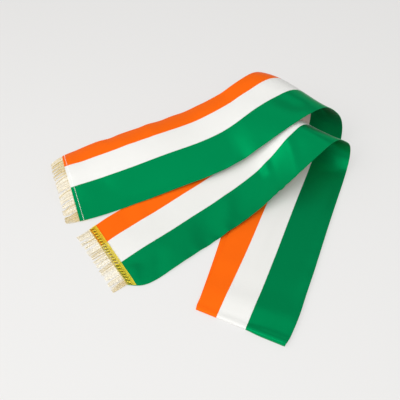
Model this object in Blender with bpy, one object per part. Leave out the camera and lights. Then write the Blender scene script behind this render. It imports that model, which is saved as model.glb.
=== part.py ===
# Satin stole with fringed ends, lying folded in three loose bends on a flat surface.
#
# The tables are in millimetres and degrees, and the meshes are made in metres.
# +Z is up, the surface is z = 0, and the origin is under the middle of the folded stole.
# "Along" runs from the end of the upper run, through the bends, to the end of the front run.
# "Across" runs from the orange edge (-1) to the green edge (+1).

import math
import random

import bpy
import numpy as np

MM = 0.001
GAP = 0.3

# The cut of the cloth, and the share of its width that each stripe takes.
CLOTH_WIDTH = 140.0
CLOTH_THICKNESS = 1.2
ORANGE_SHARE = 0.27
WHITE_SHARE = 0.30
ORANGE_WIDTH = ORANGE_SHARE * CLOTH_WIDTH
GREEN_WIDTH = (1 - ORANGE_SHARE - WHITE_SHARE) * CLOTH_WIDTH

# Where the stripes meet, from -1 at the orange edge to +1 at the green edge.
ORANGE_END = -1 + 2 * ORANGE_SHARE
WHITE_END = ORANGE_END + 2 * WHITE_SHARE

# Cross sections of the runs. x, y and z are the middle of the cloth. "across" is the heading
# of the line from the orange edge to the green edge, "bank" how far that line dips at the
# green edge, "crown" how high the cloth arches over it, and "lean" moves the arch's top
# towards the green edge, or towards the orange edge where it is negative. "orange_in" and
# "green_in" are how far an edge is turned in out of sight.
RUN_COLUMNS = ("x", "y", "z", "across", "bank", "crown", "lean", "orange_in", "green_in")
UPPER_RUN = {
    "fringed end": (-213, 20, 6, -69.5, 3, 13, -9.5, 0, 0),
    "clear of the end": (-164, 36, 17, -68, 10, 12.5, -9, 0, 0),
    "over the front run": (-108, 56, 24, -66.5, 13.5, 15, -8.5, 0, 0),
    "middle": (-57, 76, 30, -65.5, 13, 16, -8, 0, 0),
    "foot of the rise": (-6, 96, 37, -65, 11, 13, -7, 0, 0),
    "half way up": (35, 113, 48, -64, 8.5, 11, -7, 0, 0),
    "under the roll's top": (70, 131, 63, -63, 7, 9.5, -3.5, 0, 0),
}
UNDER_RUN = {
    "behind": (134, 24, 0.6, -23, 0, 0, 0, 0, 0),
    "in front": (95, -106, 0.6, -23, 0, 0, 0, 2, 0),
}
MIDDLE_RUN = {
    "behind the bottom fold": (76, -167, 2.9, -23.5, 0, 0, 0, 4.5, 0),
    "lower half": (103, -106, 2.8, -23.5, 0, 0, 0, 2, 0),
    "upper half": (128, -46, 2.8, -23, 0, 0, 0, 0, 0),
    "in front of the inner roll": (153, 13, 2.8, -23, 0, 0, 0, 0, 0),
}
FRONT_RUN = {
    "under the roll's top": (111, 68, 49, -53.5, 3, -6, -4, 0, 0),
    "half way down": (73, 40, 28, -53.5, 2.5, -7, -4.5, 0, 0),
    "foot of the rise": (33, 10, 14, -53, 3, -5, -4, 0, 0),
    "middle": (-12, -23, 7.5, -52.5, 2.5, -3.5, -3, 0, 0),
    "past the upper run": (-56, -56, 5, -52.5, 0.5, -3, -0.5, 0, 0),
    "nearly flat": (-97, -88, 2.5, -52, 0, -0.5, -0.5, 0, 0.5),
    "turned corner": (-120, -107, 1.5, -53.5, 0, 0, 0, 0, 7),
    "fringed end": (-133, -118, 1, -55, 0, 0, 0, 0, 23),
}

# The bends. x and y are the middle of the bend, "bottom" and "top" are the heights of the
# cloth under and over it, and "reach" is how far it bulges out to the side that is 90
# degrees to the left of "across". The strip meets the bend's axis at the angle "crossing".
# "tip" is how far the bend's top rises towards the green edge, in degrees, and "crown" and
# "lean" are the arch over its top: these three fade out towards its bottom.
BEND_COLUMNS = ("x", "y", "bottom", "top", "reach", "across", "crossing", "tip", "crown",
                "lean", "orange_in", "green_in")
OUTER_ROLL = (135, 167, 0.6, 85, 53, -44, 69.5, 2, 4, -7, 0, 0)
INNER_ROLL = (153, 100, 2.8, 74, 43, -38.5, 74, 1.5, -1, -2, 0, 0)
BOTTOM_FOLD = (54, -216, 0.6, 6.6, -5, -23.5, 90, 0, 0, 0, 6, 2)
BEND_SECTIONS = 6

# The folded stole's own middle, which becomes the origin.
FOOTPRINT_MIDDLE = (-3.5, -4.3)

# Stretches of cloth between two numbered sections, and the rows of faces in each.
STRETCHES = {
    "upper_run": ("upper", 0, "outer", 0, 34),
    "outer_roll": ("outer", 0, "outer", -1, 22),
    "under_run": ("outer", -1, "fold", 0, 10),
    "middle_run": ("fold", 0, "inner", 0, 26),
    "inner_roll": ("inner", 0, "inner", -1, 20),
    "front_run": ("inner", -1, "front", -1, 34),
}
ORANGE_COLUMNS = 3
WHITE_COLUMNS = 3
GREEN_COLUMNS = 4

# The braid lies on the front face over the seam of the fringe. Its profile goes from its
# outer edge inwards: the distance inside the cloth's end, and the braid's thickness there.
BRAID_PROFILE = ((-3.3, 0.6), (-1.9, 1.1), (2.0, 0.75), (5.7, 0.75), (9.6, 1.1), (11.0, 0.6))
BRAID_COLUMNS = 12

# The fringe: a heading strip in line with the cloth, with flat locks of yarn along it.
FRINGE_HEADING = 3.0
FRINGE_LOCKS = 44
LOCK_LENGTH = 21.0
LOCK_FILL = 0.72
LOCK_TIP_FILL = 0.5
LOCK_THICKNESS = 0.8
LOCK_RINGS = 3
LOCK_WANDER = 1.6
LOCK_SPREAD = 0.16
LOCK_FLOOR_GAP = 0.4
UPPER_DROOP = 9.0
FRONT_DROOP = 0.0

# A point that comes this close to the floor lies on it.
FLOOR_SNAP = 0.5

COLOURS = {
    "orange_satin": (1.0, 0.14, 0.01, 0.34, 0.0),
    "white_satin": (0.88, 0.87, 0.84, 0.34, 0.0),
    "green_satin": (0.0, 0.26, 0.075, 0.34, 0.0),
    "gold_braid": (0.85, 0.6, 0.08, 0.35, 0.7),
    "ivory_yarn": (0.82, 0.75, 0.52, 0.75, 0.0),
}


def make_material(name):
    red, green, blue, roughness, metallic = COLOURS[name]
    material = bpy.data.materials.new(name)
    material.use_nodes = True
    shader = material.node_tree.nodes["Principled BSDF"]
    shader.inputs["Base Color"].default_value = (red, green, blue, 1.0)
    shader.inputs["Roughness"].default_value = roughness
    shader.inputs["Metallic"].default_value = metallic
    material.diffuse_color = (red, green, blue, 1.0)
    return material


def heading(degrees):
    angle = math.radians(degrees)
    return np.array((math.cos(angle), math.sin(angle), 0.0))


def run_section(row):
    """One cross section of a run, as its middle and the vectors that span it."""
    values = dict(zip(RUN_COLUMNS, row))
    bank = math.radians(values["bank"])
    across = heading(values["across"]) * math.cos(bank) - np.array((0, 0, math.sin(bank)))
    upright = np.array((0.0, 0.0, 1.0))
    arch = upright - across * across[2]
    arch /= np.linalg.norm(arch)
    # The chord is shorter than the cloth, so that the arch over it has the cloth's width.
    crown_part = 8 / 3 * (values["crown"] / CLOTH_WIDTH) ** 2
    lean_part = 4 / 3 * (values["lean"] / CLOTH_WIDTH) ** 2
    half_width = CLOTH_WIDTH / 2 * (1 - crown_part - lean_part)
    middle = np.array((values["x"], values["y"], values["z"]), float)
    turned_in = (values["orange_in"], values["green_in"], 0)
    return (middle, across * half_width, arch * values["crown"], arch * values["lean"], turned_in)


def bend_sections(bend):
    """Cross sections round a bend, from its top to its bottom, along its axis."""
    values = dict(zip(BEND_COLUMNS, bend))
    axis = heading(values["across"])
    outwards = heading(values["across"] + 90)
    upright = np.array((0.0, 0.0, 1.0))
    rise = (values["top"] - values["bottom"]) / 2
    middle = np.array((values["x"], values["y"], (values["top"] + values["bottom"]) / 2))
    crossing = math.radians(values["crossing"])
    sections = []
    for angle in np.linspace(90, -90, BEND_SECTIONS):
        wrap = np.radians(np.linspace(90, angle, 60))
        ring = np.stack((values["reach"] * np.cos(wrap), rise * np.sin(wrap)), 1)
        wrapped = np.linalg.norm(np.diff(ring, axis=0), axis=1).sum()
        creep = wrapped / math.tan(crossing)
        point = middle + axis * creep + outwards * ring[-1][0] + upright * ring[-1][1]
        height_share = (1 + math.sin(wrap[-1])) / 2
        tip = math.radians(values["tip"]) * height_share
        across = axis * math.cos(tip) + upright * math.sin(tip)
        half_width = across * CLOTH_WIDTH / 2 / math.sin(crossing)
        arch = (outwards * math.cos(wrap[-1]) + upright * math.sin(wrap[-1])) * height_share
        turned_in = (values["orange_in"], values["green_in"], 0)
        sections.append((point, half_width, arch * values["crown"], arch * values["lean"],
                         turned_in))
    return sections


def stole_sections():
    """All cross sections along the stole, and the place of each group in that list."""
    groups = {
        "upper": [run_section(row) for row in UPPER_RUN.values()],
        "outer": bend_sections(OUTER_ROLL),
        "under": [run_section(row) for row in UNDER_RUN.values()],
        "fold": bend_sections(BOTTOM_FOLD)[::-1],
        "middle": [run_section(row) for row in MIDDLE_RUN.values()],
        "inner": bend_sections(INNER_ROLL)[::-1],
        "front": [run_section(row) for row in FRONT_RUN.values()],
    }
    sections = []
    places = {}
    for name, group in groups.items():
        places[name] = range(len(sections), len(sections) + len(group))
        sections += group
    return np.array(sections), places


def spline_curvatures(knots, values):
    """Second derivatives at the knots of the natural cubic spline through the values."""
    steps = np.diff(knots)
    count = len(knots)
    matrix = np.eye(count)
    right = np.zeros_like(values)
    slopes = np.diff(values, axis=0) / steps.reshape((-1,) + (1,) * (values.ndim - 1))
    for k in range(1, count - 1):
        matrix[k, k - 1:k + 2] = steps[k - 1], 2 * (steps[k - 1] + steps[k]), steps[k]
        right[k] = 6 * (slopes[k] - slopes[k - 1])
    flat_right = right.reshape(count, -1)
    return np.linalg.solve(matrix, flat_right).reshape(values.shape)


class Ribbon:
    """The middle surface of the cloth, smooth through all cross sections."""

    def __init__(self, sections):
        self.sections = sections
        spacing = np.linalg.norm(np.diff(sections[:, 0], axis=0), axis=1)
        self.knots = np.concatenate(((0.0,), np.cumsum(np.sqrt(spacing))))
        self.curvatures = spline_curvatures(self.knots, sections)

    def section(self, place):
        last = len(self.knots) - 2
        k = min(max(int(np.searchsorted(self.knots, place, side="right")) - 1, 0), last)
        step = self.knots[k + 1] - self.knots[k]
        before = (self.knots[k + 1] - place) / step
        after = 1 - before
        bend_before = (before ** 3 - before) * step ** 2 / 6
        bend_after = (after ** 3 - after) * step ** 2 / 6
        return (before * self.sections[k] + after * self.sections[k + 1]
                + bend_before * self.curvatures[k] + bend_after * self.curvatures[k + 1])

    def point(self, place, t):
        middle, half_width, crown, lean, turned_in = self.section(place)
        if t < ORANGE_END:
            kept = 1 - max(turned_in[0], 0) / ORANGE_WIDTH
            t = ORANGE_END + (t - ORANGE_END) * kept
        if t > WHITE_END:
            kept = 1 - max(turned_in[1], 0) / GREEN_WIDTH
            t = WHITE_END + (t - WHITE_END) * kept
        return middle + half_width * t + (crown + lean * t) * (1 - t * t)

    def along(self, place, t, reach=0.001):
        """How far the point moves for one unit of place."""
        low = max(place - reach, self.knots[0])
        high = min(place + reach, self.knots[-1])
        return (self.point(high, t) - self.point(low, t)) / (high - low)

    def front_normal(self, place, t, reach=0.001):
        across = self.point(place, t + reach) - self.point(place, t - reach)
        normal = np.cross(self.along(place, t), across)
        return normal / np.linalg.norm(normal)

    def place_inside(self, place, t, distance):
        """The place that lies this distance further along the stole, near another place."""
        return place + distance / np.linalg.norm(self.along(place, t))


def stripe_columns():
    """Across values of the cloth's columns, and the stripe of each strip between them."""
    stripes = ((-1, ORANGE_END, ORANGE_COLUMNS), (ORANGE_END, WHITE_END, WHITE_COLUMNS),
               (WHITE_END, 1, GREEN_COLUMNS))
    columns = [-1.0]
    colours = []
    for colour, (start, end, count) in enumerate(stripes):
        columns += list(np.linspace(start, end, count + 1)[1:])
        colours += [colour] * count
    return columns, colours


def lay_on_floor(point):
    if point[2] < FLOOR_SNAP:
        point = np.array((point[0], point[1], 0.0))
    return point


def finish_object(name, points, faces, materials, colours=None):
    middle = np.array((FOOTPRINT_MIDDLE[0], FOOTPRINT_MIDDLE[1], 0.0))
    vertices = [tuple((lay_on_floor(point) - middle) * MM) for point in points]
    mesh = bpy.data.meshes.new(name)
    mesh.from_pydata(vertices, [], faces)
    for material in materials:
        mesh.materials.append(material)
    if colours:
        mesh.polygons.foreach_set("material_index", colours)
    mesh.shade_smooth()
    mesh.set_sharp_from_angle(angle=math.radians(35))
    mesh.update()
    thing = bpy.data.objects.new(name, mesh)
    bpy.context.collection.objects.link(thing)
    return thing


def slab(name, upper, lower, materials, column_colours=None):
    """A closed wall between two equal grids of points, rows along and columns across."""
    rows = len(upper)
    columns = len(upper[0])
    count = rows * columns
    points = [point for grid in (upper, lower) for row in grid for point in row]
    faces = []
    colours = []
    stripes = column_colours or [0] * (columns - 1)
    for i in range(rows - 1):
        for j in range(columns - 1):
            corner = i * columns + j
            quad = (corner, corner + columns, corner + columns + 1, corner + 1)
            faces += [quad, tuple(count + k for k in reversed(quad))]
            colours += [stripes[j]] * 2
    rim = [j for j in range(columns)]
    rim += [i * columns + columns - 1 for i in range(1, rows)]
    rim += [(rows - 1) * columns + j for j in range(columns - 2, -1, -1)]
    rim += [i * columns for i in range(rows - 2, 0, -1)]
    rim_stripes = stripes + [stripes[-1]] * (rows - 1) + stripes[::-1] + [stripes[0]] * (rows - 1)
    for k, stripe in enumerate(rim_stripes):
        start = rim[k]
        end = rim[(k + 1) % len(rim)]
        faces.append((start, end, count + end, count + start))
        colours.append(stripe)
    return finish_object(name, points, faces, materials, colours)


def make_stretch(name, ribbon, start, end, rows, materials):
    columns, colours = stripe_columns()
    first = ribbon.place_inside(start, 0, GAP / 2 if start > ribbon.knots[0] else 0)
    last = ribbon.place_inside(end, 0, -GAP / 2 if end < ribbon.knots[-1] else 0)
    upper = []
    lower = []
    for place in np.linspace(first, last, rows + 1):
        middles = [ribbon.point(place, t) for t in columns]
        lifts = [ribbon.front_normal(place, t) * CLOTH_THICKNESS / 2 for t in columns]
        upper.append([point + lift for point, lift in zip(middles, lifts)])
        lower.append([point - lift for point, lift in zip(middles, lifts)])
    return slab(name, upper, lower, materials, colours)


def end_point(ribbon, end, t, inside, lift):
    """A point by an end of the stole: so far inside its edge and so far off its front face."""
    inwards = 1 if end == ribbon.knots[0] else -1
    if inside > 0:
        place = ribbon.place_inside(end, t, inwards * inside)
        base = ribbon.point(place, t)
    else:
        place = end
        along = ribbon.along(end, t)
        base = ribbon.point(end, t) + along / np.linalg.norm(along) * inwards * inside
    return base + ribbon.front_normal(place, t) * lift


def make_braid(name, ribbon, end, material):
    seat = CLOTH_THICKNESS / 2 + GAP
    columns = np.linspace(-1, 1, BRAID_COLUMNS + 1)
    profile = BRAID_PROFILE if end == ribbon.knots[0] else BRAID_PROFILE[::-1]
    upper = []
    lower = []
    for inside, thickness in profile:
        upper.append([end_point(ribbon, end, t, inside, seat + thickness) for t in columns])
        lower.append([end_point(ribbon, end, t, inside, seat) for t in columns])
    return slab(name, upper, lower, [material])


def lock_rings(ribbon, end, left, right, droop, chance):
    """Rings of four points along one lock of yarn, after its root on the heading strip."""
    middle_t = (left + right) / 2
    width = np.linalg.norm(ribbon.point(end, right) - ribbon.point(end, left))
    root = -GAP - FRINGE_HEADING
    sideways = chance.uniform(-LOCK_WANDER, LOCK_WANDER)
    length = LOCK_LENGTH * chance.uniform(0.94, 1.04)
    across = ribbon.point(end, middle_t + 0.01) - ribbon.point(end, middle_t - 0.01)
    across /= np.linalg.norm(across)
    rings = []
    for k in range(1, LOCK_RINGS + 1):
        share = k / LOCK_RINGS
        centre = end_point(ribbon, end, middle_t, root - length * share, 0)
        centre = centre + across * (sideways * share + LOCK_SPREAD * middle_t * length * share)
        centre[2] -= droop * share ** 2
        half_thickness = (CLOTH_THICKNESS + (LOCK_THICKNESS - CLOTH_THICKNESS) * share) / 2
        centre[2] = max(centre[2], LOCK_FLOOR_GAP + half_thickness + FLOOR_SNAP)
        half_width = width / 2 * (1 + (LOCK_TIP_FILL / LOCK_FILL - 1) * share)
        lift = ribbon.front_normal(end, middle_t) * half_thickness
        rings.append([centre - across * half_width + lift, centre + across * half_width + lift,
                      centre + across * half_width - lift, centre - across * half_width - lift])
    return rings


def make_fringe(name, ribbon, end, droop, seed, material):
    chance = random.Random(seed)
    pitch = 2 / FRINGE_LOCKS
    columns = [-1.0]
    for k in range(FRINGE_LOCKS):
        middle = -1 + pitch * (k + 0.5)
        columns += [middle - pitch * LOCK_FILL / 2, middle + pitch * LOCK_FILL / 2]
    columns.append(1.0)
    count = len(columns)
    half = CLOTH_THICKNESS / 2
    outer = -GAP - FRINGE_HEADING
    # Four lines of points along the heading strip: its inner and outer edges, front and back.
    lines = ((-GAP, half), (outer, half), (outer, -half), (-GAP, -half))
    points = [end_point(ribbon, end, t, inside, lift) for inside, lift in lines for t in columns]
    faces = []
    for line in range(4):
        for j in range(count - 1):
            is_root = line == 1 and j % 2 == 1
            if not is_root:
                here = line * count + j
                there = (line + 1) % 4 * count + j
                faces.append((here, here + 1, there + 1, there))
    faces += [(0, count, 2 * count, 3 * count),
              (4 * count - 1, 3 * count - 1, 2 * count - 1, count - 1)]
    for k in range(FRINGE_LOCKS):
        j = 2 * k + 1
        ring = [count + j, count + j + 1, 2 * count + j + 1, 2 * count + j]
        for lock_ring in lock_rings(ribbon, end, columns[j], columns[j + 1], droop, chance):
            start = len(points)
            points += lock_ring
            new_ring = [start, start + 1, start + 2, start + 3]
            for m in range(4):
                after = (m + 1) % 4
                faces.append((ring[m], ring[after], new_ring[after], new_ring[m]))
            ring = new_ring
        faces.append(tuple(ring))
    if end == ribbon.knots[-1]:
        faces = [tuple(reversed(face)) for face in faces]
    return finish_object(name, points, faces, [material])


def main():
    for thing in list(bpy.data.objects):
        bpy.data.objects.remove(thing, do_unlink=True)
    materials = {name: make_material(name) for name in COLOURS}
    satin = [materials[name] for name in ("orange_satin", "white_satin", "green_satin")]
    sections, places = stole_sections()
    ribbon = Ribbon(sections)
    for name, (from_group, from_row, to_group, to_row, rows) in STRETCHES.items():
        start = ribbon.knots[places[from_group][from_row]]
        end = ribbon.knots[places[to_group][to_row]]
        make_stretch(name, ribbon, start, end, rows, satin)
    upper_end = ribbon.knots[0]
    front_end = ribbon.knots[-1]
    make_braid("upper_braid", ribbon, upper_end, materials["gold_braid"])
    make_braid("front_braid", ribbon, front_end, materials["gold_braid"])
    make_fringe("upper_fringe", ribbon, upper_end, UPPER_DROOP, 3, materials["ivory_yarn"])
    make_fringe("front_fringe", ribbon, front_end, FRONT_DROOP, 5, materials["ivory_yarn"])


main()
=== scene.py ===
import math
import random

import bpy
import numpy as np
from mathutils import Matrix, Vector


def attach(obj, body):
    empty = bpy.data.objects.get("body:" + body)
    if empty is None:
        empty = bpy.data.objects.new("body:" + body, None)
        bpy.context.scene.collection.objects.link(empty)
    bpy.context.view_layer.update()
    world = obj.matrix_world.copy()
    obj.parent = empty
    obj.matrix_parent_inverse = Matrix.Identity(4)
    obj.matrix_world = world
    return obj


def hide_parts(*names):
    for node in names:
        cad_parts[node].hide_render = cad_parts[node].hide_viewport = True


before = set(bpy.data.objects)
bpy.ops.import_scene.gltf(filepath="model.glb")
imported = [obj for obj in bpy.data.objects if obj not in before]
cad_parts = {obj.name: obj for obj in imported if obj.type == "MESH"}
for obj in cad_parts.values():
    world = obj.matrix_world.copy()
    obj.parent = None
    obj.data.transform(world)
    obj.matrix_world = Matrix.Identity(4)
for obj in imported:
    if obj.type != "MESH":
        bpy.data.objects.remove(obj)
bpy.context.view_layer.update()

print("frame loaded,", len(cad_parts), "nodes")

mm = 0.001
floorGap = 0.05               # mm: the cloth and the fringe stay this far off the floor

# the cut
cloth = {
    "width": 140.0,           # mm, from the orange edge to the green edge
    "orange": 37.8,           # width of each stripe
    "white": 42.0,
    "thickness": 0.7,
    "columns": 56,
    "rows": 620,
    "rowSamples": 8000,
    "closeRows": 4.0,         # how much closer the rows lie at the bottom fold and the ends
    "closeReach": 14.0,
}
orangeEnd = -1 + 2 * cloth["orange"] / cloth["width"]
whiteEnd = orangeEnd + 2 * cloth["white"] / cloth["width"]
greenWidth = cloth["width"] - cloth["orange"] - cloth["white"]

# how it lies: each row is a line across the cloth, in mm and degrees
# most numbers of these rows and of the two rolls are rounded from a fit to the photo
# x, y, z, heading to the green edge, bank, crown, lean, orange edge turned in, green edge turned in
upperRun = [
    (-213, 20, 6, -69.5, 3, 13, -9.5, 0, 0),
    (-164, 36, 17, -68, 10, 12.5, -9, 0, 0),
    (-108, 56, 24, -66.5, 13.5, 15, -8.5, 0, 0),
    (-57, 76, 30, -65.5, 13, 16, -8, 0, 0),
    (-6, 96, 37, -65, 11, 13, -7, 0, 0),
    (35, 113, 48, -64, 8.5, 11, -7, 0, 0),
    (70, 131, 63, -63, 7, 9.5, -3.5, 0, 0),
]
underRun = [
    (134, 24, 0.6, -23, 0, 0, 0, 0, 0),
    (94, -106, 0.6, -23, 0, 0, 0, 1.2, 0),
]
middleRun = [
    (76, -167, 2.9, -23.5, 0, 0, 0, 4.5, 0),
    (103, -106, 2.8, -23.5, 0, 0, 0, 2, 0),
    (128, -46, 2.8, -23, 0, 0, 0, 0, 0),
    (153, 13, 2.8, -23, 0, 0, 0, 0, 0),
]
frontRun = [
    (111, 68, 49, -53.5, 3, -6, -4, 0, 0),
    (73, 40, 28, -53.5, 2.5, -7, -4.5, 0, 0),
    (33, 10, 14, -53, 3, -5, -4, 0, 0),
    (-12, -23, 7.5, -52.5, 2.5, -3.5, -3, 0, 0),
    (-56, -56, 5, -52.5, 0.5, -3, -0.5, 0, 0),
    (-97, -88, 3, -52, 0, -0.5, -0.5, 0, 0.5),
    (-120, -107.5, 1.8, -53.5, 0, 0, 0, 0, 7),
    (-131.9, -118, 1.2, -55, 0, 0, 0, 0, 22),
]
# the bends: x, y, bottom, top, reach, heading, crossing angle, tip, crown, lean, turned in
outerRoll = (135, 167, 0.6, 85, 53, -44, 69.5, 2, 4, -7, 0, 0)
innerRoll = (153, 100, 2.8, 74, 43, -38.5, 74, 1.5, -1, -2, 0, 0)
bottomFold = (54, -216, 0.6, 4.2, -5, -23.5, 90, 0, 0, 0, 6, 2)
bendLineCount = 6
bendArcSteps = 60
footprintMiddle = np.array((-3.5, -4.3, 0.0))   # the frame's origin, seen from the table above
up = np.array((0.0, 0.0, 1.0))


def heading(degrees):
    angle = math.radians(degrees)
    return np.array((math.cos(angle), math.sin(angle), 0.0))


def runLine(row):
    x, y, z, across, bank, crown, lean, orangeIn, greenIn = row
    bank = math.radians(bank)
    side = heading(across) * math.cos(bank) - up * math.sin(bank)
    arch = up - side * side[2]
    arch /= np.linalg.norm(arch)
    width = cloth["width"]
    half = width / 2 * (1 - 8 / 3 * (crown / width) ** 2 - 4 / 3 * (lean / width) ** 2)
    return (np.array((x, y, z), float), side * half, arch * crown, arch * lean,
            np.array((orangeIn, greenIn, 0.0)))


def bendLines(bend):
    x, y, bottom, top, reach, across, crossing, tip, crown, lean, orangeIn, greenIn = bend
    axis = heading(across)
    outwards = heading(across + 90)
    rise = (top - bottom) / 2
    crossing = math.radians(crossing)
    made = []
    for angle in np.linspace(90, -90, bendLineCount):
        wrap = np.radians(np.linspace(90, angle, bendArcSteps))
        ring = np.stack((reach * np.cos(wrap), rise * np.sin(wrap)), 1)
        creep = np.linalg.norm(np.diff(ring, axis=0), axis=1).sum() / math.tan(crossing)
        middle = np.array((x, y, (top + bottom) / 2)) + axis * creep
        middle = middle + outwards * ring[-1][0] + up * ring[-1][1]
        fade = (1 + math.sin(wrap[-1])) / 2          # full at the bend's top, none at its bottom
        tilt = math.radians(tip) * fade
        side = axis * math.cos(tilt) + up * math.sin(tilt)
        arch = (outwards * math.cos(wrap[-1]) + up * math.sin(wrap[-1])) * fade
        made.append((middle, side * cloth["width"] / 2 / math.sin(crossing), arch * crown,
                     arch * lean, np.array((orangeIn, greenIn, 0.0))))
    return made


def splineBends(knots, values):
    steps = np.diff(knots)
    slopes = np.diff(values, axis=0) / steps[:, None, None]
    matrix = np.eye(len(knots))
    right = np.zeros_like(values)
    for k in range(1, len(knots) - 1):
        matrix[k, k - 1:k + 2] = steps[k - 1], 2 * (steps[k - 1] + steps[k]), steps[k]
        right[k] = 6 * (slopes[k] - slopes[k - 1])
    return np.linalg.solve(matrix, right.reshape(len(knots), -1)).reshape(values.shape)


lines = [runLine(row) for row in upperRun]
outerStart = len(lines)
lines += bendLines(outerRoll)
outerEnd = len(lines) - 1
lines += [runLine(row) for row in underRun]
foldStart = len(lines)
lines += bendLines(bottomFold)[::-1]
foldEnd = len(lines) - 1
lines += [runLine(row) for row in middleRun]
innerStart = len(lines)
lines += bendLines(innerRoll)[::-1]
innerEnd = len(lines) - 1
lines += [runLine(row) for row in frontRun]
lines = np.array(lines)
spacing = np.linalg.norm(np.diff(lines[:, 0], axis=0), axis=1)
knots = np.concatenate(((0.0,), np.cumsum(np.sqrt(spacing))))
bends = splineBends(knots, lines)


def lineAt(place):
    k = np.clip(np.searchsorted(knots, place, side="right") - 1, 0, len(knots) - 2)
    step = (knots[k + 1] - knots[k])[:, None, None]
    before = (knots[k + 1] - place)[:, None, None] / step
    after = 1 - before
    return (before * lines[k] + after * lines[k + 1]
            + (before ** 3 - before) * step ** 2 / 6 * bends[k]
            + (after ** 3 - after) * step ** 2 / 6 * bends[k + 1])


def smoothPoint(place, t):
    line = lineAt(place)
    turned = np.maximum(line[:, 4], 0)
    orangeKept = 1 - turned[:, 0] / cloth["orange"]
    greenKept = 1 - turned[:, 1] / greenWidth
    t = np.where(t < orangeEnd, orangeEnd + (t - orangeEnd) * orangeKept, t)
    t = np.where(t > whiteEnd, whiteEnd + (t - whiteEnd) * greenKept, t)[:, None]
    return line[:, 0] + line[:, 1] * t + (line[:, 2] + line[:, 3] * t) * (1 - t * t)


# the distance along the cloth's middle, for places all along it
placeCount = 6000
places = np.linspace(knots[0], knots[-1], placeCount)
middles = smoothPoint(places, np.zeros(placeCount))
middleSteps = np.linalg.norm(np.diff(middles, axis=0), axis=1)
distances = np.concatenate(((0.0,), np.cumsum(middleSteps)))
clothLength = float(distances[-1])


def distanceOf(line):
    return float(np.interp(knots[line], places, distances))


landmarks = {"outerStart": distanceOf(outerStart), "outerEnd": distanceOf(outerEnd),
             "foldStart": distanceOf(foldStart), "foldEnd": distanceOf(foldEnd),
             "innerStart": distanceOf(innerStart), "innerEnd": distanceOf(innerEnd)}
foldMiddle = (landmarks["foldStart"] + landmarks["foldEnd"]) / 2
print("cloth", round(clothLength), "mm long,", {k: round(v) for k, v in landmarks.items()})

# soft folds, placed on the side that shows (mm and degrees): distance from the upper end,
# distance from the cloth's middle, turn from its length, half length, half width, rise
folds = {
    # upper run and outer roll
    "slack behind the hem": (30, 36, 62, 40, 15, 0.6),
    "flat by the hem": (62, 44, 70, 34, 13, -0.7),
    "long bulge, green side": (178, 34, 84, 46, 38, 0.4),
    "bulge before the dip": (238, 46, 84, 34, 17, 1.0),
    "dip at the foot of the rise": (277, 46, 84, 38, 24, -0.6),
    "bulge up the rise": (350, 38, 80, 40, 23, 1.9),
    "dip under the roll's top": (378, 30, 84, 24, 13, -1.6),
    "valley along the green edge": (118, 58, 4, 40, 8, -0.8),
    "white, first wave": (128, -14, 76, 34, 24, 0.7),
    "white, second wave": (352, -12, 84, 34, 22, -1.2),
    "orange, first wave": (28, -50, 84, 24, 10, -0.7),
    "orange, second wave": (106, -50, 76, 24, 11, 1.0),
    "orange, third wave": (158, -52, 82, 22, 11, 0.9),
    "orange, fourth wave": (262, -50, 84, 28, 18, 1.1),
    "orange, dip at the rise": (306, -50, 84, 26, 14, -1.2),
    "end lifts": (0, 24, 90, 44, 26, 1.8),
    "far corner lifts": (0, -43, 90, 36, 28, 5.0),
    "far edge sinks": (104, -70, 4, 26, 15, -2.2),
    "far edge sinks along the run": (240, -70, 2, 80, 18, -1.6),
    "roll's top lifts": (406, 0, 90, 110, 34, 3.2),
    "roll's shoulder": (446, 40, 90, 80, 20, -0.5),
    "roll's belly": (508, 40, 90, 80, 26, -1.8),
    # under run, hidden
    "hidden wave": (620, 20, 78, 50, 20, 0.25),
    "hidden hollow": (700, -24, 84, 50, 24, -0.15),
    "hidden wave by the fold": (846, 10, 82, 60, 20, 0.25),
    # bottom fold and middle run
    "rounded lip of the fold": (925, 0, 90, 95, 5, 0.6),
    "crease behind the lip": (934, 0, 90, 95, 6, -0.5),
    "puffed edge of the fold": (960, 6, 86, 80, 20, 2.6),
    "green corner swings out": (925, 50, 90, 34, 11, 1.9),
    "middle run, slack": (1004, 20, 84, 80, 36, 1.2),
    "middle run, green hollow": (1050, 32, 12, 70, 20, -0.35),
    "middle run, lengthwise fold": (1102, -14, 3, 78, 9, 0.55),
    "beside it": (1112, -1, 3, 74, 8, -0.45),
    "middle run, orange wave": (1012, -52, 80, 24, 12, 0.5),
    "middle run, orange hollow": (1044, -52, 84, 24, 16, -0.35),
    "green edge lifts": (1120, 70, 1, 165, 11, 2.0),
    "pull at the foot of the roll": (1262, 46, 62, 26, 9, -1.4),
    "inner roll's belly": (1288, 40, 90, 80, 22, -1.3),
    "inner roll's shoulder": (1342, 40, 90, 80, 20, -2.2),
    # inner roll and front run
    "roll's top, small ridge": (1376, 36, 78, 40, 9, 0.8),
    "ridge before the bright fold": (1416, 34, 62, 38, 8, 2.0),
    "valley after the bright fold": (1449, 36, 60, 38, 12, -2.2),
    "short fold by the white": (1456, 16, 62, 12, 6, 1.0),
    "its valley": (1474, 22, 62, 14, 7, -0.8),
    "long hollow, front run": (1488, 38, 48, 54, 22, -3.2),
    "broad ridge, front run": (1562, 42, 52, 46, 18, 2.8),
    "hollow past the ridge": (1606, 46, 64, 30, 14, -0.4),
    "low ridge": (1632, 44, 76, 26, 12, 0.3),
    "slack by the braid": (1698, 52, 58, 26, 12, -1.2),
    "ridge at the turned corner": (1739, 46, 62, 22, 13, 2.6),
    "fullness of the front run": (1640, 6, 0, 110, 34, 2.2),
    "front white, wave": (1486, -6, 76, 26, 18, -0.9),
    "front orange, wave": (1664, -52, 70, 24, 10, 0.8),
    "front orange, hollow": (1690, -50, 66, 24, 10, -0.8),
    "front orange, by the braid": (1722, -52, 70, 24, 10, 0.7),
}
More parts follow.
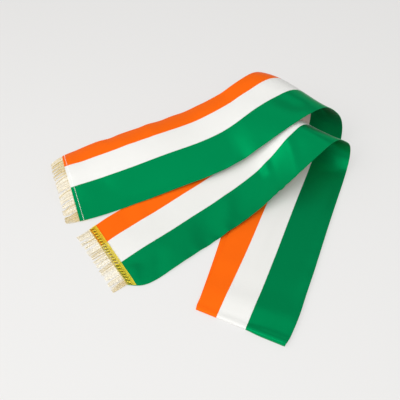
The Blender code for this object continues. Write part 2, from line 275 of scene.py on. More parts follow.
# fine crinkles where the white stripe comes over the inner roll
crinkles = {
    "count": 7,
    "first": 1379,            # distance from the upper end
    "pitch": 8.0,
    "across": 2,              # each a little nearer to the orange edge and turned a little more
    "acrossStep": -1.5,
    "turn": 84,
    "turnStep": 2,
    "halfLength": 15,
    "halfWidth": 2.4,
    "rise": 0.3,
}
for i in range(crinkles["count"]):
    folds["crinkle " + str(i + 1)] = (
        crinkles["first"] + i * crinkles["pitch"],
        crinkles["across"] + i * crinkles["acrossStep"],
        crinkles["turn"] + i * crinkles["turnStep"],
        crinkles["halfLength"], crinkles["halfWidth"], crinkles["rise"])
# small waves of the edges: distance, side, half length, pitch, reach, rise
edgeWaves = {
    "upper run's near edge": (118, 1, 60, 37, 8, 0.6),
    "upper run's near edge, over the front run": (252, 1, 60, 44, 9, 0.8),
    "front run's near edge": (1470, 1, 34, 15, 6, 0.5),
    "front run's near edge, lower down": (1600, 1, 60, 31, 8, 0.6),
    "middle run's edge": (1020, 1, 60, 48, 8, 0.4),
    "upper run's far edge": (150, -1, 80, 52, 10, 0.8),
}
edgeWaveCrowd = 1.3           # waves lie closer together, the more so on a short stretch
# edges turned under: distance, side, half length, reach from the edge, how far
tucks = {
    "far edge by the end": (76, -1, 17, 46, 2.0),
    "far edge further on": (156, -1, 18, 46, 2.6),
    "far edge up the rise": (322, -1, 40, 52, 4.4),
    "far edge over the roll": (378, -1, 44, 56, 6.0),
    "near edge by the end": (30, 1, 44, 60, -2.6),
    "near edge before the rise": (262, 1, 66, 50, -1.0),
    "front run's edge": (1500, 1, 46, 40, 2.2),
    "green edge by the fold": (958, 1, 34, 50, -1.4),
    "corner of the fold, green": (foldMiddle, 1, 5.5, 9, 2.6),
    "corner of the fold, orange": (foldMiddle, -1, 4.5, 7, 1.4),
    "pucker in the front run": (1456, 1, 4.5, 14, 1.0),
    "second pucker": (1474, 1, 4.5, 14, 0.8),
}
# stripes that lie a little aside: distance, across, half length, half width, how far towards green
drifts = {
    "white and green, front run": (1590, 12, 210, 26, 1.8),
    "white and green, by the braid": (1690, 12, 70, 26, 1.6),
    "white and green, inside the roll": (500, 10, 40, 26, -3.0),
    "white and green, the fold": (960, 12, 60, 26, 0.6),
    "white and green, up the rise": (352, 10, 46, 24, -1.6),
}
cutAskew = {"reach": 34.0, "orangeCorner": 2.4}      # mm: the upper end is cut a little aslant
# the side of the cloth that shows: the back on the upper and middle runs, the front elsewhere
turnOvers = (470.0, 895.0, 1318.0)
turnOverReach = 6.0


def showingSide(distance):
    side = -np.ones(len(distance))
    for i, turnOver in enumerate(turnOvers):
        side += (-1) ** i * (1 + np.tanh((distance - turnOver) / turnOverReach))
    return side


def relief(distance, across):
    height = np.zeros(len(distance))
    for along, beside, turn, halfLength, halfWidth, rise in folds.values():
        turn = math.radians(turn)
        da = distance - along
        db = across - beside
        lengthwise = (da * math.cos(turn) + db * math.sin(turn)) / halfLength
        sideways = (db * math.cos(turn) - da * math.sin(turn)) / halfWidth
        height += rise * np.exp(-sideways ** 2 - lengthwise ** 4)
    for along, side, halfLength, pitch, reach, rise in edgeWaves.values():
        inside = (cloth["width"] / 2 - side * across) / reach
        swing = (distance - along) / halfLength
        wave = np.sin((distance - along) / pitch * 2 * math.pi + edgeWaveCrowd * swing)
        height += rise * wave * np.exp(-swing ** 2 - inside)
    return height * showingSide(distance)


def tucked(distance, across):
    half = cloth["width"] / 2
    moved = across.copy()
    for along, side, halfLength, reach, inwards in tucks.values():
        nearEdge = np.clip((side * across - half + reach) / reach, 0, 1) ** 1.5
        moved -= side * inwards * nearEdge * np.exp(-((distance - along) / halfLength) ** 2)
    for along, beside, halfLength, halfWidth, aside in drifts.values():
        lengthwise = ((distance - along) / halfLength) ** 4
        moved += aside * np.exp(-lengthwise - ((across - beside) / halfWidth) ** 2)
    return moved


def clothPoint(distance, across, lift=0.0):
    # distance and across in mm, and the lift off the cloth's middle towards its front
    aslant = cutAskew["orangeCorner"] * np.exp(-(distance / cutAskew["reach"]) ** 2)
    distance = distance + aslant * (0.5 - across / cloth["width"])
    place = np.interp(distance, distances, places)
    t = tucked(distance, across) / (cloth["width"] / 2)
    nudge = 0.002             # a small step, to find which way the cloth faces
    here = smoothPoint(place, t)
    ahead = smoothPoint(np.minimum(place + nudge, knots[-1]), t)
    behind = smoothPoint(np.maximum(place - nudge, knots[0]), t)
    sidewards = smoothPoint(place, t + nudge) - smoothPoint(place, t - nudge)
    front = np.cross(ahead - behind, sidewards)
    front /= np.linalg.norm(front, axis=1)[:, None]
    height = relief(distance, across) + lift
    return here + front * height[:, None]


def toFrame(points):
    return (points - footprintMiddle) * mm


# making and finishing pieces
def selectOnly(thing):
    bpy.ops.object.select_all(action="DESELECT")
    thing.select_set(True)
    bpy.context.view_layer.objects.active = thing


def meshPoints(thing):
    points = np.empty(len(thing.data.vertices) * 3)
    thing.data.vertices.foreach_get("co", points)
    return points.reshape(-1, 3)


def setMeshPoints(thing, points):
    thing.data.vertices.foreach_set("co", points.astype(np.float32).ravel())
    thing.data.update()


def faceOutwards(thing):
    # the upper end lies front down, which turns what is laid on it inside out
    selectOnly(thing)
    bpy.ops.object.mode_set(mode="EDIT")
    bpy.ops.mesh.select_all(action="SELECT")
    bpy.ops.mesh.normals_make_consistent(inside=False)
    bpy.ops.object.mode_set(mode="OBJECT")


smoothAngle = 50              # degrees: sharper edges than this stay sharp


def finishPiece(thing, material, replaced):
    thing.data.materials.clear()
    thing.data.materials.append(material)
    selectOnly(thing)
    bpy.ops.object.shade_smooth_by_angle(angle=math.radians(smoothAngle))
    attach(thing, "root")
    if replaced:
        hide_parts(*replaced)


def newMaterial(name, settings):
    material = bpy.data.materials.new(name)
    material.use_nodes = True
    shader = material.node_tree.nodes["Principled BSDF"]
    for socket, value in settings.items():
        shader.inputs[socket].default_value = value
    return material, material.node_tree.nodes, material.node_tree.links, shader


def addNode(nodes, kind, x, y, **settings):
    node = nodes.new(kind)
    node.location = (x, y)
    for name, value in settings.items():
        setattr(node, name, value)
    return node


def addNoise(nodes, links, coordinates, scale, detail, x, y):
    noise = addNode(nodes, "ShaderNodeTexNoise", x, y)
    noise.inputs["Scale"].default_value = scale
    noise.inputs["Detail"].default_value = detail
    links.new(coordinates, noise.inputs["Vector"])
    return noise


def addBump(nodes, links, height, strength, distance, x, y):
    bump = addNode(nodes, "ShaderNodeBump", x, y)
    bump.inputs["Strength"].default_value = strength
    bump.inputs["Distance"].default_value = distance
    links.new(height, bump.inputs["Height"])
    return bump


grainDetail = 2.0
grainDepth = 0.0002           # metres


def addGrain(nodes, links, shader, scale, strength):
    # the fibres of a thread
    place = addNode(nodes, "ShaderNodeTexCoord", -900, -250)
    fibres = addNoise(nodes, links, place.outputs["Object"], scale, grainDetail, -700, -250)
    bump = addBump(nodes, links, fibres.outputs[0], strength, grainDepth, -400, -250)
    links.new(bump.outputs[0], shader.inputs["Normal"])


def addToneColour(nodes, links, shader, dark, light):
    # each thread has its own tone, from dark to light
    tone = addNode(nodes, "ShaderNodeAttribute", -700, 150, attribute_name="tone")
    ramp = addNode(nodes, "ShaderNodeValToRGB", -450, 150)
    ramp.color_ramp.elements[0].color = dark
    ramp.color_ramp.elements[1].color = light
    links.new(tone.outputs["Fac"], ramp.inputs[0])
    links.new(ramp.outputs[0], shader.inputs["Base Color"])


# satin
satin = {
    "orange": (0.98, 0.145, 0.006, 1),
    "white": (0.82, 0.815, 0.785, 1),
    "green": (0.0, 0.338, 0.107, 1),
    "gloss": {"orange": 0.12, "white": 0.08, "green": 0.66},
    "grazing": (0.6, 0.6, 0.6, 1),
    "seamSoftness": 0.00025,   # metres, as are the sizes below
    "floatWidth": 0.00035,     # one satin float, across and along the cloth
    "floatLength": 0.003,
    "floatDetail": 1.0,
    "floatBump": (0.12, 0.0001),       # strength, distance
    "puckerSize": 0.03,
    "puckerDetail": 2.0,
    "puckerBump": (0.35, 0.0012),
}


def makeSatin():
    material, nodes, links, shader = newMaterial("satin", {
        "Roughness": 0.3, "Anisotropic": 0.6, "Specular IOR Level": 0.0,
        "Specular Tint": satin["grazing"], "Sheen Weight": 0.15, "Sheen Roughness": 0.35,
    })
    cut = addNode(nodes, "ShaderNodeUVMap", -1500, 0, uv_map="cut")
    split = addNode(nodes, "ShaderNodeSeparateXYZ", -1300, 200)
    links.new(cut.outputs[0], split.inputs[0])
    soft = satin["seamSoftness"]
    edges = (cloth["orange"] * mm, (cloth["orange"] + cloth["white"]) * mm)
    masks = []
    for i, edge in enumerate(edges):
        mask = addNode(nodes, "ShaderNodeMapRange", -1100, 300 - i * 250,
                       interpolation_type="SMOOTHSTEP")
        mask.inputs["From Min"].default_value = edge - soft
        mask.inputs["From Max"].default_value = edge + soft
        links.new(split.outputs["X"], mask.inputs["Value"])
        masks.append(mask)
    whiteMix = addNode(nodes, "ShaderNodeMix", -850, 300, data_type="RGBA")
    whiteMix.inputs[6].default_value = satin["orange"]
    whiteMix.inputs[7].default_value = satin["white"]
    greenMix = addNode(nodes, "ShaderNodeMix", -650, 200, data_type="RGBA")
    greenMix.inputs[7].default_value = satin["green"]
    links.new(masks[0].outputs["Result"], whiteMix.inputs[0])
    links.new(masks[1].outputs["Result"], greenMix.inputs[0])
    links.new(whiteMix.outputs[2], greenMix.inputs[6])
    links.new(greenMix.outputs[2], shader.inputs["Base Color"])
    gloss = addNode(nodes, "ShaderNodeValToRGB", -850, -50)
    gloss.color_ramp.interpolation = "CONSTANT"
    for i, stripe in enumerate(("orange", "white", "green")):
        if i > 1:
            gloss.color_ramp.elements.new(1.0)
        gloss.color_ramp.elements[i].position = (0.0, *edges)[i] / (cloth["width"] * mm)
        gloss.color_ramp.elements[i].color = (satin["gloss"][stripe],) * 3 + (1,)
    share = addNode(nodes, "ShaderNodeMath", -1050, -50, operation="DIVIDE")
    share.inputs[1].default_value = cloth["width"] * mm
    links.new(split.outputs["X"], share.inputs[0])
    links.new(share.outputs[0], gloss.inputs[0])
    links.new(gloss.outputs[0], shader.inputs["Metallic"])
    stretch = addNode(nodes, "ShaderNodeMapping", -1300, -300)
    stretch.inputs["Scale"].default_value = (1 / satin["floatWidth"], 1 / satin["floatLength"], 1)
    links.new(cut.outputs[0], stretch.inputs["Vector"])
    floats = addNoise(nodes, links, stretch.outputs[0], 1.0, satin["floatDetail"], -1100, -300)
    puckers = addNoise(nodes, links, cut.outputs[0], 1 / satin["puckerSize"], satin["puckerDetail"],
                       -1100, -550)
    floatBump = addBump(nodes, links, floats.outputs[0], *satin["floatBump"], -600, -300)
    puckerBump = addBump(nodes, links, puckers.outputs[0], *satin["puckerBump"], -350, -300)
    links.new(floatBump.outputs[0], puckerBump.inputs["Normal"])
    links.new(puckerBump.outputs[0], shader.inputs["Normal"])
    tangent = addNode(nodes, "ShaderNodeTangent", -350, -600, direction_type="UV_MAP",
                      uv_map="cut")
    links.new(tangent.outputs[0], shader.inputs["Tangent"])
    return material


def rowDistances():
    # rows lie closer together round the bottom fold and at both ends
    samples = np.linspace(0, clothLength, cloth["rowSamples"])
    crowd = np.ones(len(samples))
    for close in (0.0, foldMiddle, clothLength):
        crowd += cloth["closeRows"] * np.exp(-((samples - close) / cloth["closeReach"]) ** 2)
    steps = np.concatenate(((0.0,), np.cumsum(crowd[1:])))
    return np.interp(np.linspace(0, steps[-1], cloth["rows"] + 1), steps, samples)


def makeCloth():
    bpy.ops.object.select_all(action="DESELECT")
    bpy.ops.mesh.primitive_grid_add(x_subdivisions=cloth["columns"],
                                    y_subdivisions=cloth["rows"], size=1)
    made = bpy.context.object
    made.name = made.data.name = "satin_cloth"
    flat = meshPoints(made)
    across = flat[:, 0] * cloth["width"]
    row = np.rint((flat[:, 1] + 0.5) * cloth["rows"]).astype(int)
    distance = rowDistances()[row]
    cut = made.data.uv_layers.active
    cut.name = "cut"
    corners = np.empty(len(made.data.loops), int)
    made.data.loops.foreach_get("vertex_index", corners)
    flatCut = np.stack((across + cloth["width"] / 2, distance), 1) * mm
    cut.data.foreach_set("uv", flatCut[corners].astype(np.float32).ravel())
    laid = clothPoint(distance, across)
    laid[:, 2] = np.maximum(laid[:, 2], cloth["thickness"] / 2 + floorGap)
    setMeshPoints(made, toFrame(laid))
    wall = made.modifiers.new("wall", "SOLIDIFY")
    wall.thickness = cloth["thickness"] * mm
    wall.offset = 0
    selectOnly(made)
    bpy.ops.object.modifier_apply(modifier="wall")
    finishPiece(made, makeSatin(),
                ["upper_run", "outer_roll", "under_run", "middle_run", "inner_roll", "front_run"])
    print("cloth:", len(made.data.vertices), "points")
    return made


satinCloth = makeCloth()

# trims: each is made straight and flat, then laid on an end of the cloth
ends = {"upper": 0.0, "front": clothLength}
endDepths = np.linspace(0, 16, 9)         # mm inside the end
endColumns = 300


def endRows(end):
    # rows of the cloth near an end: the place across, against the distance from the orange edge
    inwards = 1 if end == "upper" else -1
    across = np.linspace(-cloth["width"] / 2, cloth["width"] / 2, endColumns)
    rows = []
    for depth in endDepths:
        points = clothPoint(np.full(endColumns, ends[end] + inwards * depth), across)
        steps = np.linalg.norm(np.diff(points, axis=0), axis=1)
        rows.append(np.concatenate(((0.0,), np.cumsum(steps))))
    return inwards, across, np.array(rows)


def layOnEnd(end, flat):
    # flat x runs from the orange corner, y is how far inside the end, z the lift towards the front
    inwards, across, rows = endRows(end)
    depth = np.clip(flat[:, 1], 0, endDepths[-1] - 0.01)
    k = (depth / endDepths[1]).astype(int)
    share = depth / endDepths[1] - k
    wide = rows[0, -1]
    beside = []
    for row in rows:
        widened = flat[:, 0] + (row[-1] - wide) * (flat[:, 0] / wide) ** 3
        beside.append(np.interp(widened, row, across))
    beside = np.array(beside)
    each = np.arange(len(flat))
    side = beside[k, each] * (1 - share) + beside[k + 1, each] * share
    points = clothPoint(ends[end] + inwards * depth, side, flat[:, 2])
    # past the end everything goes straight on, as the middle of the cloth does
    middle = np.array((-20.0, 0.0, 20.0))
    middleDepth = 12.0
    rim = clothPoint(np.full(3, ends[end]), middle)
    behind = clothPoint(np.full(3, ends[end] + inwards * middleDepth), middle)
    outwards = (rim - behind).mean(axis=0)
    outwards /= np.linalg.norm(outwards)
    points += outwards * np.clip(-flat[:, 1], 0, None)[:, None]
    # and past the corners too
    along = rim[2] - rim[0]
    along /= np.linalg.norm(along)
    over = flat[:, 0] - np.clip(flat[:, 0], 0, wide)
    return points + along * over[:, None]


def visibleWidth(end):
    return endRows(end)[2][0, -1]


def straightThread(name, length, radius, sides, rings, flatten=1.0, twist=0.0):
    # a thread along +X: an oval ring, extruded and turned step by step
    bpy.ops.object.select_all(action="DESELECT")
    bpy.ops.mesh.primitive_circle_add(vertices=sides, radius=radius, fill_type="NGON",
                                      rotation=(0, math.pi / 2, 0))
    thread = bpy.context.object
    thread.name = thread.data.name = name
    bpy.ops.object.transform_apply(rotation=True)
    bpy.ops.object.mode_set(mode="EDIT")
    bpy.ops.mesh.select_all(action="SELECT")
    bpy.ops.transform.resize(value=(1, 1, flatten), center_override=(0, 0, 0))
    step = length / rings
    for ring in range(rings):
        bpy.ops.mesh.extrude_region_move(TRANSFORM_OT_translate={"value": (step, 0, 0)})
        if twist:
            bpy.ops.transform.rotate(value=math.radians(twist), orient_axis="X",
                                     center_override=(step * (ring + 1), 0, 0))
    bpy.ops.mesh.select_all(action="SELECT")
    bpy.ops.mesh.normals_make_consistent(inside=False)
    bpy.ops.object.mode_set(mode="OBJECT")
    return thread


def repeatPiece(thing, count):
    array = thing.modifiers.new("row", "ARRAY")
    array.count = count
    array.use_relative_offset = False
    array.use_constant_offset = True
    array.constant_offset_displace = (0, 0, 0)
    selectOnly(thing)
    bpy.ops.object.modifier_apply(modifier="row")
    return meshPoints(thing).reshape(count, -1, 3)


def setTone(thing, tones):
    tone = thing.data.attributes.new("tone", "FLOAT", "POINT")
    tone.data.foreach_set("value", np.asarray(tones, np.float32).ravel())


# fringe
fringe = {
    "length": 24.0,           # from the root to the tip
    "rootInside": 1.4,        # the yarns are sewn in between the cloth and the braid
    "rootLift": 0.5,
    "rootCorner": {"upper": 1.5, "front": 0.4},  # width without yarn, both corners together
    "pitch": 0.86,
    "yarn": 0.5,              # half the width of one yarn
    "flatten": 0.66,
    "sides": 8,
    "rings": 20,
    "twist": 44,              # degrees from ring to ring
    "gather": {"upper": 2.3, "front": 1.5},      # how far a lock's sides close in at its tip
    "gatherSpread": (0.6, 1.4),
    "lengthSpread": (0.94, 1.03),
    "sway": 0.9,              # how far one yarn bends aside
    "swayTurn": 4.2,          # radians along the yarn
    "layers": (0.0, 0.55, 1.0),                  # how high in the fringe a yarn lies
    "layerMiddle": 0.4,
    "layerLift": 0.5,
    "droop": {"upper": 8.5, "front": 0.4},       # how far the tips hang below the cloth's own line
    "rest": 0.45,             # the lowest yarns' height over the floor
    "restLayer": 0.8,
    "toneSpread": 0.28,
    "tipTone": 0.12,
    "dark": (0.58, 0.44, 0.17, 1),
    "light": (0.90, 0.85, 0.73, 1),
    "grain": (2600.0, 0.3),   # scale, strength
    # where each lock ends, from the orange corner, how far it leans, how long it is and its tone
    "locks": {
        "upper": [
            (21, 2.4, 1.0, 0.5), (30, 0.6, 0.97, 0.3), (38, 0.5, 1.0, 0.2), (45, 0.9, 0.97, 0.35),
            (52, 0.2, 1.0, 0.2), (59, 0.5, 0.98, 0.3), (83, 0.4, 0.97, 0.7), (103, 0.6, 0.99, 0.65),
            (113, -0.2, 0.96, 0.75), (127, 0.3, 1.0, 0.5), (141, 1.4, 0.97, 0.2),
        ],
        "front": [
            (13, -0.8, 0.97, 0.75), (22, 0.3, 1.0, 0.6), (31, -0.3, 0.95, 0.8), (44, 0.5, 0.99, 0.85),
            (53, -0.9, 0.92, 0.6), (61, 0.8, 1.0, 0.65), (72, -0.3, 0.95, 0.9), (86, 0.3, 1.0, 0.8),
            (97, -0.4, 0.97, 0.9), (108, 0.4, 1.01, 0.8), (119, 0.8, 1.0, 0.55),
        ],
    },
}


def makeYarnMaterial():
    material, nodes, links, shader = newMaterial("ivoryYarn", {
        "Roughness": 0.6, "Specular IOR Level": 0.25, "Sheen Weight": 0.15, "Sheen Roughness": 0.5,
    })
    addToneColour(nodes, links, shader, fringe["dark"], fringe["light"])
    addGrain(nodes, links, shader, *fringe["grain"])
    return material


def lockAt(end, root):
    # the lock that a yarn belongs to: where it starts and ends, its lean, reach and tone
    locks = fringe["locks"][end]
    number = min(sum(root >= lock[0] for lock in locks), len(locks) - 1)
    low = locks[number - 1][0] if number else 0.0
    return (low, *locks[number])


def makeFringe(end, seed, material):
    chance = random.Random(seed)
    wide = visibleWidth(end)
    count = int(wide / fringe["pitch"])
    yarns = straightThread(end + "_fringe_yarns", fringe["length"], fringe["yarn"], fringe["sides"],
                           fringe["rings"], fringe["flatten"], fringe["twist"])
    points = repeatPiece(yarns, count)
    rootCorner = fringe["rootCorner"][end]
    flat = np.empty_like(points)
    centres = np.empty_like(points)
    tones = np.empty(points.shape[:2])
    layers = np.empty(count)
    for k in range(count):
        root = rootCorner / 2 + (k + 0.5) * (wide - rootCorner) / count
        low, high, lean, reach, lockTone = lockAt(end, root)
        share = np.clip(points[k, :, 0] / fringe["length"], 0, 1)
        turn = chance.uniform(0, math.pi)
        y = points[k, :, 1] * math.cos(turn) - points[k, :, 2] * math.sin(turn)
        z = points[k, :, 1] * math.sin(turn) + points[k, :, 2] * math.cos(turn)
        beside = ((low + high) / 2 - root) / (high - low) * 2
        pull = beside * fringe["gather"][end] * chance.uniform(*fringe["gatherSpread"])
        sway = chance.uniform(-fringe["sway"], fringe["sway"])
        phase = chance.uniform(0, 6.28)
        layers[k] = chance.choice(fringe["layers"])
        wave = np.sin(share * fringe["swayTurn"] + phase)
        drift = (pull + lean) * share ** 1.25 + sway * wave * share
        stretch = chance.uniform(*fringe["lengthSpread"])
        centres[k, :, 0] = root + drift
        centres[k, :, 1] = fringe["rootInside"] - points[k, :, 0] * reach * stretch
        lifted = (layers[k] - fringe["layerMiddle"]) * fringe["layerLift"] * share ** 0.5
        centres[k, :, 2] = fringe["rootLift"] + lifted
        flat[k, :, 0] = centres[k, :, 0] + y
        flat[k, :, 1] = centres[k, :, 1]
        flat[k, :, 2] = centres[k, :, 2] + z
        yarnTone = lockTone + chance.gauss(0, fringe["toneSpread"])
        tones[k] = np.clip(yarnTone + fringe["tipTone"] * share, 0, 1)
    laid = layOnEnd(end, flat.reshape(-1, 3))
    middle = layOnEnd(end, centres.reshape(-1, 3))
    share = np.clip(-centres[..., 1] / (fringe["length"] - fringe["rootInside"]), 0, 1).ravel()
    sink = fringe["droop"][end] * share ** 1.8
    # where a yarn reaches the floor it lies on it, in its own layer
    floor = np.repeat(fringe["rest"] + layers * fringe["restLayer"], points.shape[1])
    lowest = middle[:, 2] - sink
    settled = floor + np.where(lowest > floor, lowest - floor, 0)
    laid[:, 2] += settled - middle[:, 2]
    laid[:, 2] = np.maximum(laid[:, 2], floorGap)
    setMeshPoints(yarns, toFrame(laid))
    setTone(yarns, tones)
    faceOutwards(yarns)
    finishPiece(yarns, material, [end + "_fringe"])
    print(yarns.name, count, "yarns")
    return yarns


yarnMaterial = makeYarnMaterial()
fringes = [makeFringe("upper", 11, yarnMaterial), makeFringe("front", 12, yarnMaterial)]

# stitches that hold the turned-up end
stitches = {
    "inside": (4.2, 6.6),     # how far inside the end, at the orange corner and at the green one
    "first": 0.3,
    "pitch": 2.9,
    "length": 2.3,
    "radius": 0.42,
    "flatten": 0.7,
    "sides": 8,
    "rings": 6,
    "lift": -0.42,
    "bow": 0.25,              # the ends of a stitch go down into the cloth
    "colour": (0.95, 0.95, 0.93, 1),
}


def makeStitches():
    material = newMaterial("whiteThread", {
        "Base Color": stitches["colour"], "Roughness": 0.5, "Specular IOR Level": 0.3,
        "Sheen Weight": 0.1,
    })[0]
    wide = visibleWidth("upper")
    count = round(wide / stitches["pitch"])
    row = straightThread("end_stitches", stitches["length"], stitches["radius"],
                         stitches["sides"], stitches["rings"], stitches["flatten"])
    points = repeatPiece(row, count)
    share = points[:, :, 0] / stitches["length"] * 2 - 1
    narrow = np.sqrt(np.clip(1.02 - share ** 2, 0, 1))
    flat = points.copy()
    flat[:, :, 0] += stitches["first"] + np.arange(count)[:, None] * wide / count
    inside = np.interp(flat[:, :, 0], (0, wide), stitches["inside"])
    flat[:, :, 1] = inside + points[:, :, 1] * narrow
    flat[:, :, 2] = stitches["lift"] + points[:, :, 2] * narrow + stitches["bow"] * share ** 2
    setMeshPoints(row, toFrame(layOnEnd("upper", flat.reshape(-1, 3))))
    faceOutwards(row)
    finishPiece(row, material, [])
    print(row.name, count, "stitches")
    return row


endStitches = makeStitches()

# gold braid: open work, so the stripes show through it
braid = {
    "seat": 0.95,             # the lowest threads' lift off the cloth's middle
    "depth": {"upper": (1.0, 1.0), "front": (1.12, 0.76)},   # at the orange corner and the green one
    "side": 0.2,              # the threads end this far inside the cloth's edges
    "ringPitch": 0.55,
    # cords of two strands: distance from the end, lift, half thickness, tone
    "cords": [
        (0.2, 0.4, 0.3, 0.75), (7.7, 0.5, 0.42, 0.85), (9.2, 0.5, 0.52, 0.95),
        (10.6, 0.5, 0.52, 1.0), (12.1, 0.55, 0.58, 1.0),
    ],
    "strand": 0.62,           # half thickness of a strand, and how far out it winds, to the cord's
    "strandWay": 0.55,
    "strandTurn": 2.2,        # radians per mm
    "strandSides": 6,
    # mesh under them: middle, half width, pitch, half thickness, tone; the wide first mesh has a dark
    # tone, painted shade under the open work
    "meshes": [
        (6.2, 5.9, 1.9, 0.17, 0.55), (1.4, 1.2, 1.3, 0.17, 0.8), (5.0, 2.4, 0.95, 0.34, 0.85),
    ],
    "meshLift": 0.1,
    "meshSides": 5,
    "barPitch": 5.6,
    "barFirst": 1.6,
    "barMargin": 3,           # width left over when the bars are counted
    # the third thread of each bar has the darkest tone: a painted shadow beside the bar
    "barThreadsAndShadow": ((-0.8, 0.95), (0.0, 1.0), (0.95, 0.0)),   # place beside the bar's middle, tone
    "barRadius": 0.5,
    "barFrom": 2.9,           # distance from the end
    "barWidth": 4.5,
    "barSlant": 2.4,
    "barAcross": (0.9, -0.45),           # which way the width of a slanted thread runs
    "barLift": 0.35,
    "barArch": 0.6,
    "barSides": 6,
    "barRings": 9,
    # the dark end of the tones is painted shade: the braid's darkest threads stand for the shadow in
    # its openings
    "dark": (0.10, 0.045, 0.006, 1),
    "light": (1.0, 0.82, 0.055, 1),
    "grain": (1500.0, 0.4),   # scale, strength
}


def makeGold():
    material, nodes, links, shader = newMaterial("goldThread", {
        "Roughness": 0.36, "Metallic": 0.2, "Specular IOR Level": 0.3,
    })
    addToneColour(nodes, links, shader, braid["dark"], braid["light"])
    addGrain(nodes, links, shader, *braid["grain"])
    return material


def braidThread(name, wide, radius, sides):
    # a thread as long as the braid, still straight, and its points
    length = wide - 2 * braid["side"]
    thread = straightThread(name, length, radius, sides, int(wide / braid["ringPitch"]))
    return thread, meshPoints(thread)


def bendThread(thread, points, aside, high, tone):
    points[:, 0] += braid["side"]
    points[:, 1] += aside
    points[:, 2] += high + braid["seat"]
    setMeshPoints(thread, points)
    setTone(thread, np.full(len(points), tone))
    return thread


def makeCords(end, wide):
    made = []
    for depth, lift, thick, tone in braid["cords"]:
        for phase in (0, math.pi):
            thread, points = braidThread(end + "_cord", wide, thick * braid["strand"],
                                         braid["strandSides"])
            turn = points[:, 0] * braid["strandTurn"] + phase
            aside = depth + thick * braid["strandWay"] * np.cos(turn)
            high = lift + thick * braid["strandWay"] * np.sin(turn)
            made.append(bendThread(thread, points, aside, high, tone))
    return made


def makeMeshes(end, wide):
    made = []
    for middle, reach, pitch, thick, tone in braid["meshes"]:
        for phase in (0, math.pi):
            thread, points = braidThread(end + "_mesh", wide, thick, braid["meshSides"])
            aside = middle + reach * np.sin(points[:, 0] / pitch * math.pi + phase)
            made.append(bendThread(thread, points, aside, braid["meshLift"], tone))
    return made


def makeBars(end, wide):
    # slanted bars of threads side by side; the darkest thread of each paints the shadow beside the
    # bar
    count = round((wide - braid["barMargin"]) / braid["barPitch"]) * len(braid["barThreadsAndShadow"])
    bars = straightThread(end + "_bars", 1.0, braid["barRadius"], braid["barSides"],
                          braid["barRings"])
    points = repeatPiece(bars, count)
    share = points[:, :, 0].copy()
    number, beside = np.divmod(np.arange(count), len(braid["barThreadsAndShadow"]))
    beside, tones = np.array(braid["barThreadsAndShadow"])[beside].T
    middle = braid["barFirst"] + number * braid["barPitch"] + beside
    alongBraid, insideEnd = braid["barAcross"]
    points[:, :, 0] = middle[:, None] + share * braid["barSlant"]
    points[:, :, 0] += points[:, :, 1] * alongBraid
    points[:, :, 1] = braid["barFrom"] + share * braid["barWidth"] + points[:, :, 1] * insideEnd
    points[:, :, 2] += braid["seat"] + braid["barLift"] + braid["barArch"] * np.sin(share * math.pi)
    setMeshPoints(bars, points.reshape(-1, 3))
    setTone(bars, np.repeat(tones, points.shape[1]))
    return bars


def makeBraid(end, material):
    wide = visibleWidth(end)
    threads = [*makeCords(end, wide), *makeMeshes(end, wide), makeBars(end, wide)]
    made = threads[0]
    selectOnly(made)
    for thread in threads:
        thread.select_set(True)
    bpy.ops.object.join()
    made.name = made.data.name = end + "_gold_braid"
    flat = meshPoints(made)
    flat[:, 1] *= np.interp(flat[:, 0], (0, wide), braid["depth"][end])
    setMeshPoints(made, toFrame(layOnEnd(end, flat)))
    faceOutwards(made)
    finishPiece(made, material, [end + "_braid"])
    print(made.name, len(made.data.vertices), "points")
    return made


goldThread = makeGold()
braids = [makeBraid("upper", goldThread), makeBraid("front", goldThread)]

# floor, light and camera
studio = {
    "floorSize": 12.0,        # metres
    "floorDrop": 0.0002,
    "floor": (0.28, 0.278, 0.275, 1),
    "floorGlow": 0.545,       # the pale floor also glows, so shadows stay faint
    "glowColour": (1.0, 0.99, 0.975, 1),
    "sky": 0.47,
    "brightest": (-0.65, -0.3, 0.7),     # the studio is brightest at the upper left, by the camera
    # place, from the opposite side (0) to the brightest (1), and how bright it is there
    "skyLevels": [
        (0.5, 1.1), (0.56, 0.8), (0.63, 0.3), (0.69, 0.7), (0.74, 1.2),
        (0.84, 1.25), (0.89, 0.85), (0.935, 1.3), (0.97, 2.8),
    ],
    "backdrop": (0.80, 0.795, 0.785, 1),     # what shows past the floor from a low angle
    "lamps": {                # place in metres, width and power
        "left softbox": ((-0.8, -0.5, 1.15), 0.9, 7.2),
        "fill by the camera": ((0.1, -0.85, 1.35), 0.9, 9.0),
    },
    "lampsAim": (0.02, 0, 0),
    "lens": 45.09,            # mm
    "sensor": 36,
    "cameraBack": 817.1,      # mm from the table's middle
    "cameraTilt": 38.9,       # degrees from straight down
}


def makeFloor():
    bpy.ops.object.select_all(action="DESELECT")
    bpy.ops.mesh.primitive_plane_add(size=studio["floorSize"], location=(0, 0, -studio["floorDrop"]))
    floor = bpy.context.object
    floor.name = "floor"
    material = newMaterial("paleFloor", {
        "Base Color": studio["floor"], "Roughness": 0.9, "Specular IOR Level": 0.0,
        "Emission Color": studio["glowColour"], "Emission Strength": studio["floorGlow"],
    })[0]
    floor.data.materials.append(material)


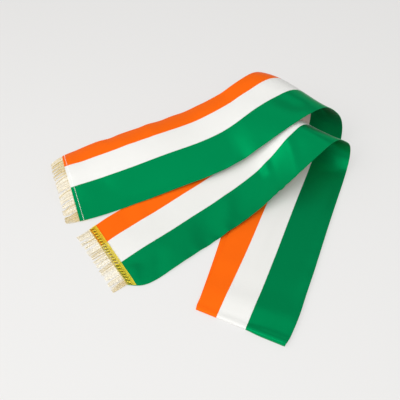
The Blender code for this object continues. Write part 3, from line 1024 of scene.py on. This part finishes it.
def makeSky():
    world = bpy.data.worlds.new("studio")
    bpy.context.scene.world = world
    world.use_nodes = True
    nodes, links = world.node_tree.nodes, world.node_tree.links
    sky = nodes["Background"]
    direction = addNode(nodes, "ShaderNodeTexCoord", -700, 0)
    towards = addNode(nodes, "ShaderNodeVectorMath", -500, 0, operation="DOT_PRODUCT")
    towards.inputs[1].default_value = studio["brightest"]
    spread = addNode(nodes, "ShaderNodeMapRange", -350, 0)
    spread.inputs["From Min"].default_value = -1
    links.new(direction.outputs["Generated"], towards.inputs[0])
    links.new(towards.outputs["Value"], spread.inputs["Value"])
    levels = addNode(nodes, "ShaderNodeValToRGB", -150, 0)
    for i, (place, level) in enumerate(studio["skyLevels"]):
        if i > 1:
            levels.color_ramp.elements.new(1.0)
        levels.color_ramp.elements[i].position = place
        levels.color_ramp.elements[i].color = (level, level, level, 1)
    links.new(spread.outputs["Result"], levels.inputs[0])
    links.new(levels.outputs[0], sky.inputs["Color"])
    sky.inputs["Strength"].default_value = studio["sky"]
    # the satin mirrors that sky, and past the floor a plain pale backdrop shows
    backdrop = addNode(nodes, "ShaderNodeBackground", 100, -150)
    backdrop.inputs["Color"].default_value = studio["backdrop"]
    seen = addNode(nodes, "ShaderNodeLightPath", 100, 400)
    either = addNode(nodes, "ShaderNodeMixShader", 350, 0)
    links.new(seen.outputs["Is Camera Ray"], either.inputs["Fac"])
    links.new(sky.outputs[0], either.inputs[1])
    links.new(backdrop.outputs[0], either.inputs[2])
    links.new(either.outputs[0], nodes["World Output"].inputs["Surface"])


def makeLamps():
    for name, (place, size, power) in studio["lamps"].items():
        lamp = bpy.data.lights.new(name, "AREA")
        lamp.size = size
        lamp.energy = power
        thing = bpy.data.objects.new(name, lamp)
        thing.location = place
        thing.rotation_mode = "QUATERNION"
        aim = Vector(studio["lampsAim"]) - thing.location
        thing.rotation_quaternion = aim.to_track_quat("-Z", "Y")
        thing.visible_glossy = False      # no hard square of light in the satin
        bpy.context.scene.collection.objects.link(thing)


def makeCamera():
    tilt = math.radians(studio["cameraTilt"])
    back = np.array((0, -math.sin(tilt), math.cos(tilt))) * studio["cameraBack"]
    camera = bpy.data.objects.new("camera", bpy.data.cameras.new("camera"))
    camera.data.lens = studio["lens"]
    camera.data.sensor_width = studio["sensor"]
    camera.location = toFrame(back)
    camera.rotation_euler = (tilt, 0, 0)
    bpy.context.scene.collection.objects.link(camera)
    bpy.context.scene.camera = camera
    bpy.context.scene.view_settings.view_transform = "Standard"


makeFloor()
makeSky()
makeLamps()
makeCamera()
print("floor, sky, lamps and camera are set")
